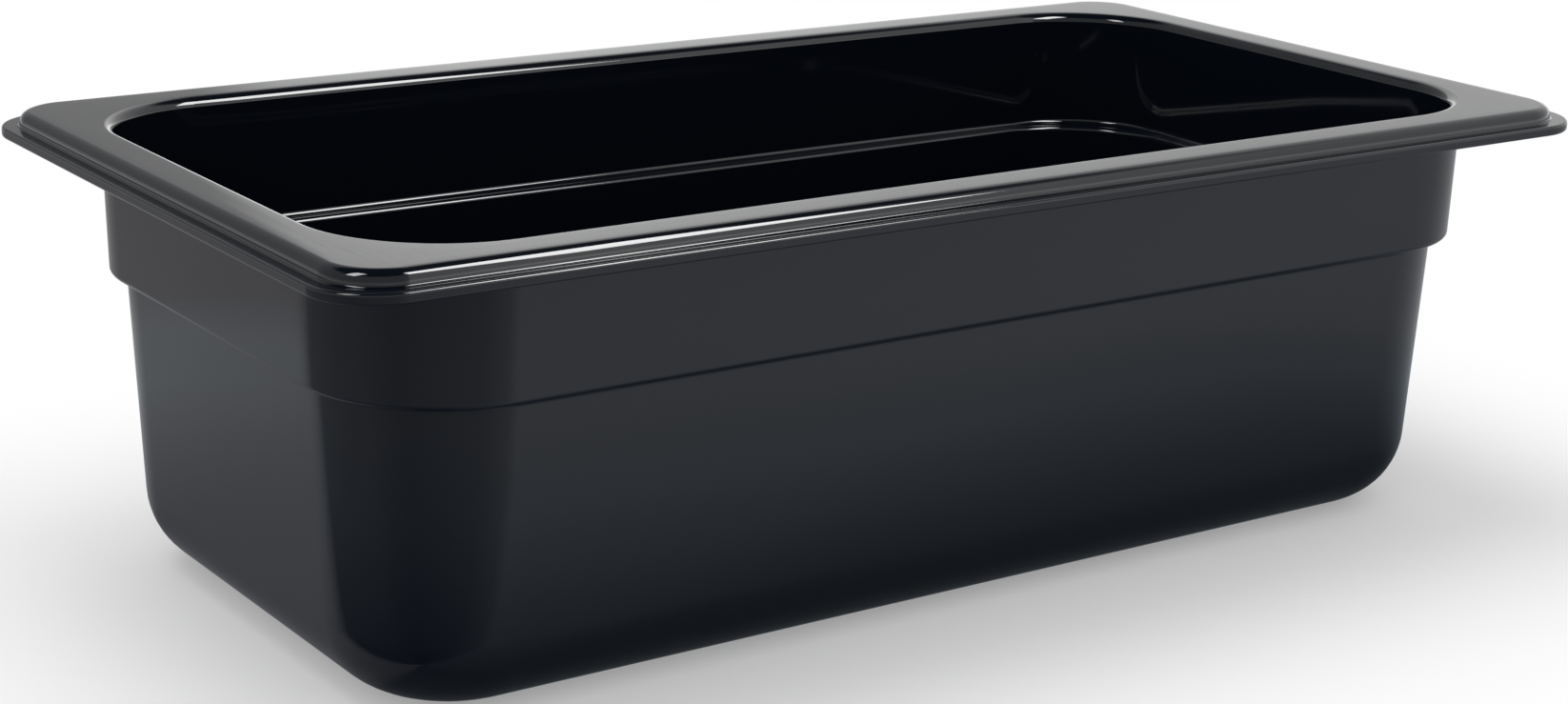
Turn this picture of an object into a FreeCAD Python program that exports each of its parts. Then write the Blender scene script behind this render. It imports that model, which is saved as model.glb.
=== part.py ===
import FreeCAD, Part
import math
import os
import Sketcher

# A third-size food pan, 100 mm deep, moulded in one piece.
# The pan stands on z = 0 with its long way along X, and the origin is under the middle of its floor.
# From the top down: a flat land round the mouth, a thin lip outside it that hangs in a well,
# an upper band that a nested pan stops on, a shoulder, and a drafted lower body with a round base edge.

# Each row is a name, a size in millimetres or degrees, and what it measures.
SIZES = [
    ("PanLength", 325, "over the lip, along X"),
    ("PanWidth", 176, "over the lip, along Y"),
    ("PanHeight", 100, "from the base to the land"),
    ("WallThickness", 3, "skin of the band, the body and the land"),
    ("FloorThickness", 3, "skin of the floor"),
    ("LipThickness", 2.3, "thickness of the outer lip"),
    ("LipCornerRadius", 14, "plan radius of the lip's corners"),
    ("LipEdgeRadius", 0.6, "rounding of the lip's two edges"),
    ("LandHeight", 3.2, "rise of the land above the lip"),
    ("LandSetIn", 3.3, "from the lip's edge in to the land's outer side"),
    ("LandCornerRadius", 12.5, "plan radius of the land's outer side"),
    ("LandEdgeRadius", 2.5, "rounding between the land and its outer side"),
    ("LandFootRadius", 0.6, "hollow rounding between the land's side and the lip"),
    ("MouthEdgeRadius", 2.4, "rounding between the land and the mouth"),
    ("BandSetIn", 12.3, "from the lip's edge in to the band, at the lip's underside"),
    ("BandDraft", 1.4, "slope of the band, in degrees"),
    ("BandCornerRadius", 31.5, "plan radius of the band, at the lip's underside"),
    ("ShoulderHeight", 67.3, "from the base up to the shoulder"),
    ("ShoulderStep", 2.8, "width of the shoulder"),
    ("ShoulderThickness", 2.6, "skin of the shoulder"),
    ("ShoulderRadius", 1.3, "rounding of the shoulder's edges"),
    ("BodyDraft", 2.8, "slope of the lower body, in degrees"),
    ("BaseEdgeRadius", 18.5, "rounding between the walls and the base"),
]

# Heights and set-ins that follow from the sizes above, as expressions of the sheet's cells.
LEDGE_HEIGHT = "(Sizes.PanHeight - Sizes.LandHeight)"
UNDERSIDE_HEIGHT = "(Sizes.PanHeight - Sizes.LandHeight - Sizes.LipThickness)"
BAND_HEIGHT = f"({UNDERSIDE_HEIGHT} - Sizes.ShoulderHeight)"
STOP_HEIGHT = "(Sizes.ShoulderHeight + Sizes.ShoulderThickness)"
BAND_LEAN = f"({BAND_HEIGHT} * tan(Sizes.BandDraft))"
MOUTH_LEAN = f"((Sizes.PanHeight - {UNDERSIDE_HEIGHT}) * tan(Sizes.BandDraft))"
STOP_LEAN = "(Sizes.ShoulderThickness * tan(Sizes.BodyDraft))"
BODY_SET_IN = f"(Sizes.BandSetIn + {BAND_LEAN} + Sizes.ShoulderStep)"
BODY_CORNER = f"(Sizes.BandCornerRadius - {BAND_LEAN})"
BASE_LEAN = "(Sizes.ShoulderHeight * tan(Sizes.BodyDraft))"
FLOOR_LEAN = f"(({STOP_HEIGHT} - Sizes.FloorThickness) * tan(Sizes.BodyDraft))"
MOUTH_SET_IN = f"(Sizes.BandSetIn - {MOUTH_LEAN} + Sizes.WallThickness)"
MOUTH_CORNER = f"(Sizes.BandCornerRadius + {MOUTH_LEAN} - Sizes.WallThickness)"
STOP_SET_IN = f"({BODY_SET_IN} - {STOP_LEAN} + Sizes.WallThickness)"
STOP_CORNER = f"({BODY_CORNER} + {STOP_LEAN} - Sizes.WallThickness)"
MOUTH_DEPTH = f"(Sizes.PanHeight - {STOP_HEIGHT})"
BAND_BOTTOM_SET_IN = f"(Sizes.BandSetIn + {BAND_LEAN})"
BASE_SET_IN = f"({BODY_SET_IN} + {BASE_LEAN})"
STOP_OUTER_SET_IN = f"({MOUTH_SET_IN} + {MOUTH_DEPTH} * tan(Sizes.BandDraft))"
FLOOR_SET_IN = f"({STOP_SET_IN} + {FLOOR_LEAN})"
# The shoulder's two roundings share its step, so each takes a little under half of it at most.
SHOULDER_RADIUS = "min(Sizes.ShoulderRadius; 0.48 * Sizes.ShoulderStep)"
# The land's side carries two roundings, so the upper one takes at most nearly all that the foot leaves.
LAND_RADIUS = "min(Sizes.LandEdgeRadius; 0.97 * (Sizes.LandHeight - Sizes.LandFootRadius))"
FLOOR_RADIUS = "(Sizes.BaseEdgeRadius - Sizes.WallThickness)"

document = FreeCAD.newDocument("DeliFoodPan")
sheet = document.addObject("Spreadsheet::Sheet", "Sizes")
for row, (alias, size, meaning) in enumerate(SIZES, start=1):
    sheet.set(f"A{row}", alias)
    sheet.set(f"B{row}", str(size))
    sheet.setAlias(f"B{row}", alias)
    sheet.set(f"C{row}", meaning)
document.recompute()


def measure(expression):
    """Give an expression of the sheet's cells as a plain number."""
    result = sheet.evalExpression(expression)
    return float(getattr(result, "Value", result))


def rounded_rectangle(body, name, height, rings):
    """Sketch one or two rounded rectangles, each a set-in from the lip's edge and a corner radius."""
    sketch = body.newObject("Sketcher::SketchObject", name)
    planes = [plane for plane in body.Origin.OriginFeatures if plane.Role == "XY_Plane"]
    sketch.AttachmentSupport = [(planes[0], "")]
    sketch.MapMode = "FlatFace"
    sketch.setExpression("AttachmentOffset.Base.z", height)
    for ring, (set_in, radius) in enumerate(rings):
        add_ring(sketch, f"Ring{ring + 1}", set_in, radius)
    document.recompute()
    return sketch


def add_ring(sketch, name, set_in, radius):
    """Draw four sides and four corner arcs, centred on the origin, and bind their sizes."""
    half_length = measure(f"Sizes.PanLength / 2 - {set_in}")
    half_width = measure(f"Sizes.PanWidth / 2 - {set_in}")
    corner = measure(radius)
    x = half_length - corner
    y = half_width - corner
    first = sketch.GeometryCount
    sides = [
        ((-x, -half_width), (x, -half_width)),
        ((half_length, -y), (half_length, y)),
        ((x, half_width), (-x, half_width)),
        ((-half_length, y), (-half_length, -y)),
    ]
    for start, end in sides:
        sketch.addGeometry(Part.LineSegment(FreeCAD.Vector(*start, 0), FreeCAD.Vector(*end, 0)), False)
    centres = [(x, -y), (x, y), (-x, y), (-x, -y)]
    quarter = math.pi / 2
    for turn, centre in enumerate(centres, start=-1):
        circle = Part.Circle(FreeCAD.Vector(*centre, 0), FreeCAD.Vector(0, 0, 1), corner)
        sketch.addGeometry(Part.ArcOfCircle(circle, turn * quarter, (turn + 1) * quarter), False)
    bottom, right, top, left = range(first, first + 4)
    arcs = range(first + 4, first + 8)
    start_point, end_point, centre_point = 1, 2, 3
    for side, arc, following in zip((bottom, right, top, left), arcs, (right, top, left, bottom)):
        sketch.addConstraint(Sketcher.Constraint("Tangent", side, end_point, arc, start_point))
        sketch.addConstraint(Sketcher.Constraint("Tangent", arc, end_point, following, start_point))
    sketch.addConstraint(Sketcher.Constraint("Horizontal", bottom))
    sketch.addConstraint(Sketcher.Constraint("Vertical", right))
    for arc in arcs[1:]:
        sketch.addConstraint(Sketcher.Constraint("Equal", arcs[0], arc))
    origin = (-1, 1)
    sketch.addConstraint(
        Sketcher.Constraint("Symmetric", arcs[0], centre_point, arcs[2], centre_point, *origin))
    named = [
        ("Length", Sketcher.Constraint("DistanceX", left, start_point, right, start_point, 2 * half_length),
         f"Sizes.PanLength - 2 * {set_in}"),
        ("Width", Sketcher.Constraint("DistanceY", bottom, start_point, top, start_point, 2 * half_width),
         f"Sizes.PanWidth - 2 * {set_in}"),
        ("Corner", Sketcher.Constraint("Radius", arcs[0], corner), radius),
    ]
    for label, constraint, expression in named:
        index = sketch.addConstraint(constraint)
        sketch.renameConstraint(index, name + label)
        sketch.setExpression(f"Constraints.{name}{label}", expression)


def extrude(body, kind, name, sketch, length, taper=None, downward=False):
    """Pad or pocket a sketch, and stop if it leaves the solid's volume as it was."""
    before = body.Shape.Volume if body.Tip else 0.0
    feature = body.newObject(f"PartDesign::{kind}", name)
    feature.Profile = sketch
    feature.setExpression("Length", length)
    if taper:
        feature.setExpression("TaperAngle", taper)
    # A pad grows along the sketch's normal and a pocket against it, unless it is reversed.
    feature.Reversed = downward if kind == "Pad" else not downward
    document.recompute()
    change = feature.Shape.Volume - before
    if change * (1 if kind == "Pad" else -1) <= 0:
        raise RuntimeError(f"{name} changes nothing")
    return feature


def ring_edges(shape, height, set_in):
    """Name the edges that lie at one height and go round the pan at one set-in."""
    level = measure(height)
    length = measure(f"Sizes.PanLength - 2 * {set_in}")
    tolerance = 0.01
    flat = []
    for number, edge in enumerate(shape.Edges, start=1):
        box = edge.BoundBox
        if abs(box.ZMin - level) < tolerance and abs(box.ZMax - level) < tolerance:
            flat.append((f"Edge{number}", edge))
    for ring in Part.sortEdges([edge for _, edge in flat]):
        if abs(Part.Wire(ring).BoundBox.XLength - length) < tolerance:
            return [name for name, edge in flat if any(edge.isSame(part) for part in ring)]
    raise RuntimeError(f"no ring at height {level:.2f} and length {length:.2f}")


def round_ring(body, name, height, set_in, radius):
    """Round one ring of edges on the pan."""
    base = body.Tip
    fillet = body.newObject("PartDesign::Fillet", name)
    fillet.Base = (base, ring_edges(base.Shape, height, set_in))
    fillet.setExpression("Radius", radius)
    document.recompute()
    return fillet


def build_pan():
    """Mould the pan: four pads make its outside, three pockets hollow it, fillets round its edges."""
    body = document.addObject("PartDesign::Body", "FoodPan")
    body.Label = "food_pan"

    # The band and the body hang from the rim, each drafted so that the moulding leaves its tool.
    band = rounded_rectangle(
        body, "BandOutline", UNDERSIDE_HEIGHT, [("Sizes.BandSetIn", "Sizes.BandCornerRadius")])
    extrude(body, "Pad", "Band", band, BAND_HEIGHT, "-Sizes.BandDraft", downward=True)
    lower = rounded_rectangle(body, "BodyOutline", "Sizes.ShoulderHeight", [(BODY_SET_IN, BODY_CORNER)])
    extrude(body, "Pad", "LowerBody", lower, "Sizes.ShoulderHeight", "-Sizes.BodyDraft", downward=True)

    # The lip is a thin plate all round, and the land is a second, smaller plate on it.
    lip = rounded_rectangle(body, "LipOutline", UNDERSIDE_HEIGHT, [("0", "Sizes.LipCornerRadius")])
    extrude(body, "Pad", "Lip", lip, "Sizes.LipThickness")
    land = rounded_rectangle(
        body, "LandOutline", LEDGE_HEIGHT, [("Sizes.LandSetIn", "Sizes.LandCornerRadius")])
    extrude(body, "Pad", "Land", land, "Sizes.LandHeight")

    # A channel under the land keeps the rim's skin as thin as the walls.
    channel = rounded_rectangle(body, "ChannelOutline", UNDERSIDE_HEIGHT, [
        ("(Sizes.LandSetIn + Sizes.WallThickness)", "(Sizes.LandCornerRadius - Sizes.WallThickness)"),
        ("Sizes.BandSetIn", "Sizes.BandCornerRadius"),
    ])
    channel_depth = f"Sizes.PanHeight - Sizes.WallThickness - {UNDERSIDE_HEIGHT}"
    extrude(body, "Pocket", "RimChannel", channel, channel_depth)

    # The hollow follows the outside at the wall's thickness, with a stop where the shoulder is.
    mouth = rounded_rectangle(body, "MouthOutline", "Sizes.PanHeight", [(MOUTH_SET_IN, MOUTH_CORNER)])
    extrude(body, "Pocket", "BandHollow", mouth, MOUTH_DEPTH, "-Sizes.BandDraft", downward=True)
    stop = rounded_rectangle(body, "StopOutline", STOP_HEIGHT, [(STOP_SET_IN, STOP_CORNER)])
    body_depth = f"{STOP_HEIGHT} - Sizes.FloorThickness"
    extrude(body, "Pocket", "BodyHollow", stop, body_depth, "-Sizes.BodyDraft", downward=True)

    # Edges, from the base up to the mouth.
    round_ring(body, "BaseEdge", "0", BASE_SET_IN, "Sizes.BaseEdgeRadius")
    round_ring(body, "FloorEdge", "Sizes.FloorThickness", FLOOR_SET_IN, FLOOR_RADIUS)
    round_ring(body, "ShoulderFoot", "Sizes.ShoulderHeight", BODY_SET_IN, SHOULDER_RADIUS)
    round_ring(body, "ShoulderEdge", "Sizes.ShoulderHeight", BAND_BOTTOM_SET_IN, SHOULDER_RADIUS)
    round_ring(body, "StopFoot", STOP_HEIGHT, STOP_OUTER_SET_IN, SHOULDER_RADIUS)
    round_ring(body, "StopEdge", STOP_HEIGHT, STOP_SET_IN, SHOULDER_RADIUS)
    round_ring(body, "LipBottomEdge", UNDERSIDE_HEIGHT, "0", "Sizes.LipEdgeRadius")
    round_ring(body, "LipTopEdge", LEDGE_HEIGHT, "0", "Sizes.LipEdgeRadius")
    round_ring(body, "LandFoot", LEDGE_HEIGHT, "Sizes.LandSetIn", "Sizes.LandFootRadius")
    round_ring(body, "LandEdge", "Sizes.PanHeight", "Sizes.LandSetIn", LAND_RADIUS)
    round_ring(body, "MouthEdge", "Sizes.PanHeight", MOUTH_SET_IN, "Sizes.MouthEdgeRadius")
    return body


pan = build_pan()

for item in document.Objects:
    if "Invalid" in item.State or "Error" in item.State:
        raise RuntimeError(f"{item.Name} failed: {item.State}")

parts = [pan]
for part in parts:
    if part.Shape.isNull() or not part.Shape.isValid() or len(part.Shape.Solids) != 1:
        raise RuntimeError(f"{part.Label} is not one valid solid")

os.makedirs("parts", exist_ok=True)
for part in parts:
    part.Shape.exportStep(os.path.join("parts", part.Label + ".step"))
    box = part.Shape.optimalBoundingBox(False)
    print(f"{part.Label}: {box.XLength:.2f} x {box.YLength:.2f} x {box.ZLength:.2f} mm,"
          f" {part.Shape.Volume / 1000:.1f} cubic cm")
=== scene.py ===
from math import cos, pi, radians, sin, tan

import bmesh
import bpy
from mathutils import Matrix, Vector


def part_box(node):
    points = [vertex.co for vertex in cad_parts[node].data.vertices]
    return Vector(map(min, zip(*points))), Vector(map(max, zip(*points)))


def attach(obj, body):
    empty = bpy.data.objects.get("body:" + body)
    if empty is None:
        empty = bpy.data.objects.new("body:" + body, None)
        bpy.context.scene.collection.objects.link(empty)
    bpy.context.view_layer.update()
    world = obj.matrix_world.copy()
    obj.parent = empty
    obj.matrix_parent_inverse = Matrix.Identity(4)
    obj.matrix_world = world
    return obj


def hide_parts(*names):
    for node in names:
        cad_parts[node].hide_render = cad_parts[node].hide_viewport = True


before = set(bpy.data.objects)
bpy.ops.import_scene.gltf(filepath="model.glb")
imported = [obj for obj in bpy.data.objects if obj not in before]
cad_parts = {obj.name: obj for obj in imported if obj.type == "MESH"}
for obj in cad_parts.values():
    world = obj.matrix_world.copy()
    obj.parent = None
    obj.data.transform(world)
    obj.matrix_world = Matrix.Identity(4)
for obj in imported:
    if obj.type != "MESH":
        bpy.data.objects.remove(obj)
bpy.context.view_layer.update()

scene = bpy.context.scene


# The food pan: a third-size pan, 100 mm deep, that hangs in a serving well by its thin lip.
# It is one shell of polycarbonate about 3 mm thick, injected between a polished core and a
# polished cavity, so its walls lean a little and nothing is fixed to it.

MM = 0.001
low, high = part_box("food_pan")
half_length = (high.x - low.x) / 2 / MM
half_width = (high.y - low.y) / 2 / MM
top = high.z / MM

# Skins and heights, and how much each wall leans in over a millimetre of its height.
wall = 3.0
floor_top = 3.0
land_height = 3.2
lip_thickness = 2.3
lip_top = top - land_height
lip_bottom = lip_top - lip_thickness
shoulder = 67.3
shoulder_step = 2.8
shoulder_thickness = 2.6
stop = shoulder + shoulder_thickness
band_draft = tan(radians(1.4))
body_draft = tan(radians(2.8))

# How far each face is set in from the lip's edge, at its top and at its foot.
land_side = 3.3
band_top = 12.3
band_foot = band_top + (lip_bottom - shoulder) * band_draft
body_top = band_foot + shoulder_step
body_foot = body_top + shoulder * body_draft
mouth_top = band_top - (top - lip_bottom) * band_draft + wall
mouth_foot = mouth_top + (top - stop) * band_draft
stop_edge = body_top - (stop - shoulder) * body_draft + wall
floor_edge = stop_edge + (stop - floor_top) * body_draft

# The roundings between one face and the next.
base_edge = 18.5
shoulder_edge = 1.3
lip_edge = 0.6
land_foot = 0.6
land_edge = 2.5
mouth_edge = 2.4

# How far in from the lip's two edges the arcs of the corners are centred, for each part of the shell.
land_corner = 12.5
band_corner = 31.5
lip_arc = 14.0
land_arc = land_side + land_corner
band_arc = band_top + band_corner
body_arc = band_arc + shoulder_step

# The shell's section, from the base up the outside, over the rim and down to the floor.
# Each row is a set-in from the lip's edge, a height, the arc's centre and the rounding there.
section = [
    (body_foot, 0, body_arc, base_edge),
    (body_top, shoulder, body_arc, shoulder_edge),
    (band_foot, shoulder, band_arc, shoulder_edge),
    (band_top, lip_bottom, band_arc, 0),
    (band_top, top - wall, band_arc, 0),
    (land_side + wall, top - wall, land_arc, 0),
    (land_side + wall, lip_bottom, land_arc, 0),
    (0, lip_bottom, lip_arc, lip_edge),
    (0, lip_top, lip_arc, lip_edge),
    (land_side, lip_top, land_arc, land_foot),
    (land_side, top, land_arc, land_edge),
    (mouth_top, top, band_arc, mouth_edge),
    (mouth_foot, stop, band_arc, shoulder_edge),
    (stop_edge, stop, body_arc, shoulder_edge),
    (floor_edge, floor_top, body_arc, base_edge - wall),
]


def arc_points(before, corner, after, radius):
    """Round one corner of the section, with more steps on a larger arc."""
    least_steps = 5
    steps_per_mm = 0.6
    if not radius:
        return [corner]
    back = (before - corner).normalized()
    ahead = (after - corner).normalized()
    half_angle = back.angle(ahead) / 2
    centre = corner + (back + ahead).normalized() * radius / sin(half_angle)
    start = corner + back * radius / tan(half_angle) - centre
    end = corner + ahead * radius / tan(half_angle) - centre
    steps = round(least_steps + steps_per_mm * radius)
    return [centre + start.slerp(end, step / steps) * radius for step in range(steps + 1)]


def rounded(section):
    """Swap each corner of the section for its arc, and divide the long straight runs between them."""
    longest_run = 12
    corners = [Vector(row[:2]) for row in section]
    corners = [Vector((half_width, corners[0].y)), *corners, Vector((half_width, corners[-1].y))]
    points = []
    for before, corner, after, row in zip(corners, corners[1:], corners[2:], section):
        arc_centre, radius = row[2:]
        arc = [Vector((*point, arc_centre)) for point in arc_points(before, corner, after, radius)]
        if points:
            start = points[-1]
            run = arc[0] - start
            parts = int(run.length / longest_run) + 1
            points += [start + run * part / parts for part in range(1, parts)]
        points += arc
    return points


half_arc_steps = 10
long_steps = 18
short_steps = 9


def ring(set_in, height, arc_centre):
    """Go once round the pan at one set-in and height, from the middle of one corner's arc."""
    radius = arc_centre - set_in
    half_arc = radians(45)
    angles = [half_arc * step / half_arc_steps for step in range(half_arc_steps)]
    points = []
    for side in range(4):
        along_x = side % 2 == 0
        reach, out = (half_length, half_width) if along_x else (half_width, half_length)
        steps = long_steps if along_x else short_steps
        straight = reach - arc_centre
        hub = out - arc_centre
        outline = [(-straight - radius * sin(half_arc - a), hub + radius * cos(half_arc - a)) for a in angles]
        outline += [(straight * (2 * step / steps - 1), hub + radius) for step in range(steps)]
        outline += [(straight + radius * sin(a), hub + radius * cos(a)) for a in angles]
        turn = side * pi / 2
        points += [(along * cos(turn) + away * sin(turn), along * sin(turn) - away * cos(turn), height)
                   for along, away in outline]
    return points


shell = bmesh.new()
rings = [[shell.verts.new(Vector(point) * MM) for point in ring(*place)] for place in rounded(section)]
count = len(rings[0])
for lower, upper in zip(rings, rings[1:]):
    for near in range(count):
        far = (near + 1) % count
        shell.faces.new((lower[near], lower[far], upper[far], upper[near]))
# The flat of the base and of the floor is a grid of quads between their two long sides.
long_side = 2 * half_arc_steps + long_steps
short_side = 2 * half_arc_steps + short_steps
for outline in (rings[0], rings[-1]):
    sides = [shell.edges.get((outline[step], outline[(step + 1) % count]))
             for start in (0, long_side + short_side) for step in range(start, start + long_side)]
    bmesh.ops.grid_fill(shell, edges=sides)
bmesh.ops.recalc_face_normals(shell, faces=shell.faces)
mesh = bpy.data.meshes.new("food_pan_shell")
shell.to_mesh(mesh)
shell.free()
mesh.shade_smooth()
mesh.set_sharp_from_angle(angle=radians(40))
pan = bpy.data.objects.new("food_pan_shell", mesh)
scene.collection.objects.link(pan)
flats = pan.modifiers.new("flats shade flat", "WEIGHTED_NORMAL")
flats.keep_sharp = True


def linear(hex_colour):
    """Turn an sRGB hex colour to linear red, green, blue and alpha."""
    channels = [int(hex_colour[start:start + 2], 16) / 255 for start in (1, 3, 5)]
    return *(c / 12.92 if c <= 0.04045 else ((c + 0.055) / 1.055) ** 2.4 for c in channels), 1.0


def add(tree, kind, inputs=None, **settings):
    """Add a node with its settings, and set its inputs or link them to another node's first output."""
    node = tree.nodes.new("ShaderNode" + kind)
    for name, value in settings.items():
        setattr(node, name, value)
    for key, value in (inputs or {}).items():
        if isinstance(value, bpy.types.Node):
            value = value.outputs[0]
        if isinstance(value, bpy.types.NodeSocket):
            tree.links.new(value, node.inputs[key])
        else:
            node.inputs[key].default_value = value
    return node


def new_material(name):
    """Start a material with an empty node tree."""
    material = bpy.data.materials.new(name)
    material.use_nodes = True
    material.node_tree.nodes.clear()
    return material, material.node_tree


# Polycarbonate, dyed through to near black and moulded against polished steel. It gives the eye
# crisp, slightly wavy reflections that grow strong at a glance, and a blue-black body.
polycarbonate, tree = new_material("polished black polycarbonate")
place = add(tree, "TexCoord").outputs["Object"]
height = add(tree, "SeparateXYZ", {"Vector": place}).outputs["Z"]

# The skin shrinks unevenly as it cools: waves a few centimetres long, of which the bump shows a few
# hundredths of a millimetre.
sink_length = 55 * MM
sink_depth = 0.22 * MM
sink = add(tree, "TexNoise", {"Vector": place, "Scale": 1 / sink_length, "Detail": 1.0, "Roughness": 0.4})
waves = add(tree, "Bump", {"Height": sink, "Strength": 1.0, "Distance": sink_depth})

# Handling leaves a faint haze in patches a couple of centimetres across.
haze_length = 20 * MM
haze = add(tree, "TexNoise", {"Vector": place, "Scale": 1 / haze_length, "Detail": 5.0, "Roughness": 0.6})
gloss = add(tree, "MapRange", {"Value": haze, "From Min": 0.35, "From Max": 0.7,
                               "To Min": 0.035, "To Max": 0.075})

# Lids, other pans and shelves scuff the flats of the rim and the base with hairlines, drawn 0.4 mm
# wide to show.
scuff_width = 0.4 * MM
scuff_length = 22 * MM
scuff_roughness = 0.13
scuffs = []
for slant in (20, 115):
    turned = add(tree, "Mapping", {"Vector": place, "Rotation": (0, 0, radians(slant)),
                                   "Scale": (1 / scuff_width, 1 / scuff_length, 1 / scuff_length)})
    lines = add(tree, "TexNoise", {"Vector": turned, "Scale": 1.0, "Detail": 0.0})
    scuffs.append(add(tree, "MapRange", {"Value": lines, "From Min": 0.70, "From Max": 0.80}))
either = add(tree, "Math", {0: scuffs[0], 1: scuffs[1]}, operation="MAXIMUM")
on_rim = add(tree, "MapRange", {"Value": height, "From Min": (lip_bottom - 1) * MM,
                                "From Max": lip_bottom * MM})
on_base = add(tree, "MapRange", {"Value": height, "From Min": 1.2 * MM, "From Max": 0.1 * MM})
touched = add(tree, "Math", {0: on_rim, 1: on_base}, operation="MAXIMUM")
tilt = add(tree, "SeparateXYZ", {"Vector": add(tree, "TexCoord").outputs["Normal"]}).outputs["Z"]
up_or_down = add(tree, "Math", {0: tilt}, operation="ABSOLUTE")
flat = add(tree, "MapRange", {"Value": up_or_down, "From Min": 0.985, "From Max": 0.998})
rubbed = add(tree, "Math", {0: touched, 1: flat}, operation="MULTIPLY")
worn = add(tree, "Math", {0: either, 1: rubbed}, operation="MULTIPLY")
roughness = add(tree, "Math", {0: worn, 1: scuff_roughness, 2: gloss}, operation="MULTIPLY_ADD")

surface = add(tree, "BsdfPrincipled", {
    "Base Color": linear("#0A0F17"), "IOR": 1.585, "Roughness": roughness, "Normal": waves})
add(tree, "OutputMaterial", {"Surface": surface})
mesh.materials.append(polycarbonate)

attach(pan, "root")
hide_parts("food_pan")


# The floor: a sweep of matt white paper. Round the pan it takes a soft shadow, and further out
# it is plain white to the eye.

def sheet(name, half_size, height, material):
    """Lay a square of the studio level at a height, with its middle at the origin."""
    corners = [(x * half_size, y * half_size, height) for x, y in ((-1, -1), (1, -1), (1, 1), (-1, 1))]
    square = bpy.data.meshes.new(name)
    square.from_pydata(corners, [], [(0, 1, 2, 3)])
    square.materials.append(material)
    laid = bpy.data.objects.new(name, square)
    scene.collection.objects.link(laid)
    return laid


base_half = ((half_length - body_foot) * MM, (half_width - body_foot) * MM, 0)


def distance_from_base(tree):
    """How far a point of the floor lies outside the rectangle that the pan stands on."""
    place = add(tree, "TexCoord").outputs["Object"]
    folded = add(tree, "VectorMath", {0: place}, operation="ABSOLUTE")
    beyond = add(tree, "VectorMath", {0: folded, 1: base_half}, operation="SUBTRACT")
    outside = add(tree, "VectorMath", {0: beyond, 1: (0, 0, 0)}, operation="MAXIMUM")
    return add(tree, "VectorMath", {0: outside}, operation="LENGTH").outputs["Value"]


# Matt paper gives the eye an even tone with no gloss, and takes the shadow within this reach of the base.
paper, tree = new_material("matt white paper")
shadow_reach = 0.12
least_white = 0.3
away = add(tree, "MapRange", {"Value": distance_from_base(tree), "From Min": 0.0, "From Max": shadow_reach,
                              "To Min": least_white}, interpolation_type="SMOOTHSTEP")
rays = add(tree, "LightPath").outputs
seen = add(tree, "Math", {0: rays["Is Camera Ray"], 1: rays["Is Glossy Ray"]}, operation="ADD")
seen = add(tree, "Math", {0: seen, 1: rays["Is Transmission Ray"]}, operation="ADD", use_clamp=True)
share = add(tree, "Math", {0: seen, 1: away}, operation="MULTIPLY")
matt = add(tree, "BsdfDiffuse", {"Color": linear("#F6F6F6")})
white = add(tree, "Emission", {"Color": linear("#FFFFFF"), "Strength": 1.0})
mixed = add(tree, "MixShader", {0: share, 1: matt, 2: white})
add(tree, "OutputMaterial", {"Surface": mixed})
sheet("floor", 6.0, 0, paper)


# The studio that the gloss mirrors: a blue-grey felt mat round the pan, and a round room. Both glow
# rather than being lit, so their tones are painted light and painted shade: the room glows grey to
# the left, white behind to the right, a little lighter low down and dark at the ceiling.
# Only reflections see them.

def only_in_reflections(thing):
    """Keep a piece of the studio out of sight, and its light off the pan's body colour."""
    thing.visible_camera = False
    thing.visible_diffuse = False
    thing.visible_shadow = False
    thing.visible_transmission = False
    thing.visible_volume_scatter = False


def set_ramp(node, stops):
    """Give a colour ramp its stops, each a place along it and a linear colour."""
    elements = node.color_ramp.elements
    elements.remove(elements[-1])
    for index, (position, colour) in enumerate(stops):
        element = elements.new(position) if index else elements[0]
        element.position = position
        element.color = colour


def grey(level):
    """A linear grey of that level."""
    return level, level, level, 1.0


# The felt glows rather than being lit, and gives the pan's walls a soft, even tone to mirror. It is
# darker close to the pan: a painted shadow of the pan. Each stop is a distance in metres and a colour.
felt_painted_shade, tree = new_material("blue-grey felt, painted light and shade")
shade_length = 0.2
front_painted_shadow_stops = [(0.0, "#4A4E53"), (0.02, "#646A70"), (0.04, "#7D848B"), (0.085, "#A8B0B6"),
               (0.13, "#BDC0C4"), (0.2, "#C3C4C8")]
left_painted_shadow_stops = [(0.0, "#6C6D72"), (0.016, "#8C8C91"), (0.045, "#999A9F"), (0.105, "#B1B5B9"),
              (0.15, "#B4B8BB"), (0.2, "#A5A4A7")]
near = add(tree, "MapRange", {"Value": distance_from_base(tree), "From Min": 0.0, "From Max": shade_length})
shades = []
for stops in (front_painted_shadow_stops, left_painted_shadow_stops):
    shade = add(tree, "ValToRGB", {"Fac": near})
    set_ramp(shade, [(reach / shade_length, linear(colour)) for reach, colour in stops])
    shades.append(shade)
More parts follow.
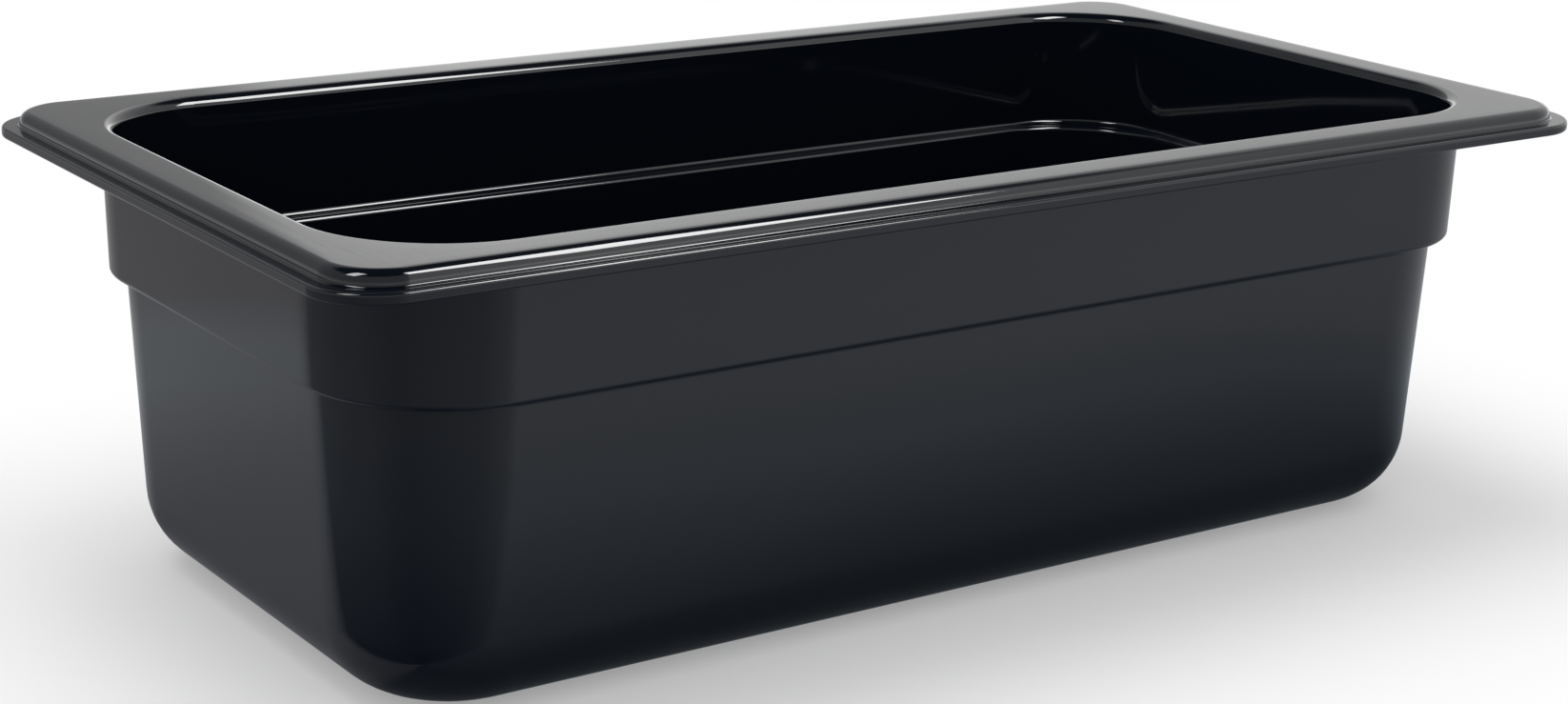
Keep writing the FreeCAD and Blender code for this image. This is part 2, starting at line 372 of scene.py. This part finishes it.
# A bearing runs from 0 to 1 once round the near left corner: 0 is left, 0.25 front, 0.5 right and 0.75
# back. Along it the felt's glow is painted light and shade: darkest out from the corner itself, which is
# the side that the main camera looks from, a painted shadow; brightest to the front right; and by the
# left end a lighter piece, a lit copy of the felt. Both were placed for what the pan mirrors in that view.
corner = Vector((low.x, low.y, 0)) + Vector((20, 20, 0)) * MM
from_corner = add(tree, "Mapping", {"Vector": add(tree, "TexCoord").outputs["Object"], "Location": -corner})
bearing = add(tree, "TexGradient", {"Vector": from_corner}, gradient_type="RADIAL")
painted_light_on_felt = add(tree, "ValToRGB", {"Fac": bearing})
set_ramp(painted_light_on_felt, [(0.0, grey(0.4)), (0.08, grey(0.32)), (0.26, grey(0.45)), (0.315, grey(0.65)),
                         (0.34, grey(1.0)), (0.43, grey(1.0)), (0.47, grey(0.8)), (0.83, grey(0.8)),
                         (0.86, grey(0.42))])
painted_lit_left_end = add(tree, "ValToRGB", {"Fac": bearing})
set_ramp(painted_lit_left_end, [(0.7, grey(0)), (0.75, grey(1)), (0.83, grey(1)), (0.86, grey(0))])
# Painted light and shade: the front felt glows as the painted light round the corner says, the left end as
# its lit copy.
front_felt_painted_light = add(tree, "Emission", {"Color": shades[0], "Strength": painted_light_on_felt})
left_felt_painted_light = add(tree, "Emission", {"Color": shades[1], "Strength": 1.0})
both = add(tree, "MixShader", {0: painted_lit_left_end, 1: front_felt_painted_light, 2: left_felt_painted_light})
add(tree, "OutputMaterial", {"Surface": both})
only_in_reflections(sheet("felt_mat_painted_shade", 1.2, 0.3 * MM, felt_painted_shade))

# The room glows as painted light, giving broad, soft-edged fields of grey and white in the rim's flats and
# roundings.
walls, tree = new_material("glowing studio walls, painted light")
room_radius = 3.0
direction = add(tree, "VectorMath", {0: add(tree, "TexCoord").outputs["Object"], "Scale": 1 / room_radius},
                operation="SCALE")
parts = add(tree, "SeparateXYZ", {"Vector": direction}).outputs
painted_light_by_side = add(tree, "ValToRGB", {"Fac": parts["X"]})
set_ramp(painted_light_by_side, [(0.2, grey(0.31)), (0.345, grey(0.41)), (0.375, grey(0.82)), (0.45, grey(1.0)),
                      (0.7, grey(0.72))])
# Painted shade towards the ceiling, and painted light a little brighter low down.
painted_shade_to_ceiling = add(tree, "MapRange", {"Value": parts["Z"], "From Min": 0.68, "From Max": 0.82,
                                       "To Min": 1.2, "To Max": 0.05}, interpolation_type="SMOOTHSTEP")
painted_light_low_down = add(tree, "MapRange", {"Value": parts["Z"], "From Min": 0.06, "From Max": 0.19,
                                  "To Min": 1.7, "To Max": 1.0}, interpolation_type="SMOOTHSTEP")
lit = add(tree, "Math", {0: painted_light_by_side, 1: painted_shade_to_ceiling}, operation="MULTIPLY")
level = add(tree, "Math", {0: lit, 1: painted_light_low_down}, operation="MULTIPLY")
glow = add(tree, "Emission", {"Color": linear("#FFFFFF"), "Strength": level})
add(tree, "OutputMaterial", {"Surface": glow})
dome = bmesh.new()
bmesh.ops.create_uvsphere(dome, u_segments=64, v_segments=32, radius=room_radius)
room_mesh = bpy.data.meshes.new("studio_room")
dome.to_mesh(room_mesh)
dome.free()
room_mesh.materials.append(walls)
room = bpy.data.objects.new("studio_room", room_mesh)
scene.collection.objects.link(room)
only_in_reflections(room)


# One large soft lamp overhead lights the floor and gives the shadow. Two small softboxes, over the front
# and the left end, light nothing: their bright faces only show as streaks on the rim. Their places were
# worked back from the streaks that the main view needs.

def hang(thing, place, target):
    """Put a lamp or a softbox's face in place, pointed at a target."""
    thing.location = place
    thing.rotation_euler = (Vector(target) - Vector(place)).to_track_quat("-Z", "Y").to_euler()
    if thing.name not in scene.collection.objects:
        scene.collection.objects.link(thing)


overhead = bpy.data.lights.new("overhead", "AREA")
overhead.shape = "DISK"
overhead.size = 1.4
overhead.energy = 9
lamp = bpy.data.objects.new("overhead", overhead)
hang(lamp, (-0.3, 0.5, 1.7), (0, 0, 0))
lamp.visible_glossy = False

# Lit fabric gives crisp white streaks with even ends. Each softbox has a side, a strength, a size, its
# place and the point of the rim that it faces.
softboxes = [
    ("front", 15.0, (0.19, 0.29), (0.195, -0.35, 0.522), (0.0, -0.085, 0.098)),
    ("left", 9.0, (0.15, 0.26), (-0.447, -0.097, 0.564), (-0.155, -0.08, 0.099)),
]
for side, strength, size, place, target in softboxes:
    fabric, tree = new_material("lit softbox fabric, " + side)
    glow = add(tree, "Emission", {"Color": linear("#FFFFFF"), "Strength": strength})
    add(tree, "OutputMaterial", {"Surface": glow})
    face = sheet("softbox_face_" + side, 0.5, 0, fabric)
    face.scale = (*size, 1)
    hang(face, place, target)
    only_in_reflections(face)

# The air round it all is plain white to the eye, and gives things three quarters of that as light.
world = bpy.data.worlds.new("white studio air")
scene.world = world
world.use_nodes = True
tree = world.node_tree
tree.nodes.clear()
rays = add(tree, "LightPath").outputs
plain = add(tree, "Background", {"Color": linear("#FFFFFF"), "Strength": 1.0})
soft = add(tree, "Background", {"Color": linear("#FFFFFF"), "Strength": 0.75})
mixed = add(tree, "MixShader", {0: rays["Is Diffuse Ray"], 1: plain, 2: soft})
add(tree, "OutputWorld", {"Surface": mixed})


# The camera: a short telephoto lens at the near left corner, a little above the rim, with a slight
# roll. Angles are in radians and distances in metres.
camera_data = bpy.data.cameras.new("camera")
camera_data.sensor_width = 36
camera_data.lens = 68.06
camera = bpy.data.objects.new("camera", camera_data)
azimuth = 0.609
elevation = 0.285
roll = 0.025
distance = 0.66128
aim = Vector((-0.020915, -0.021355, 0.05))
back = Vector((-sin(azimuth) * cos(elevation), -cos(azimuth) * cos(elevation), sin(elevation)))
right = (-back).cross(Vector((0, 0, 1))).normalized()
up = back.cross(right)
turned = Matrix((right * cos(roll) + up * sin(roll), up * cos(roll) - right * sin(roll), back)).transposed()
camera.matrix_world = Matrix.Translation(aim + back * distance) @ turned.to_4x4()
scene.collection.objects.link(camera)
scene.camera = camera
scene.view_settings.view_transform = "Standard"
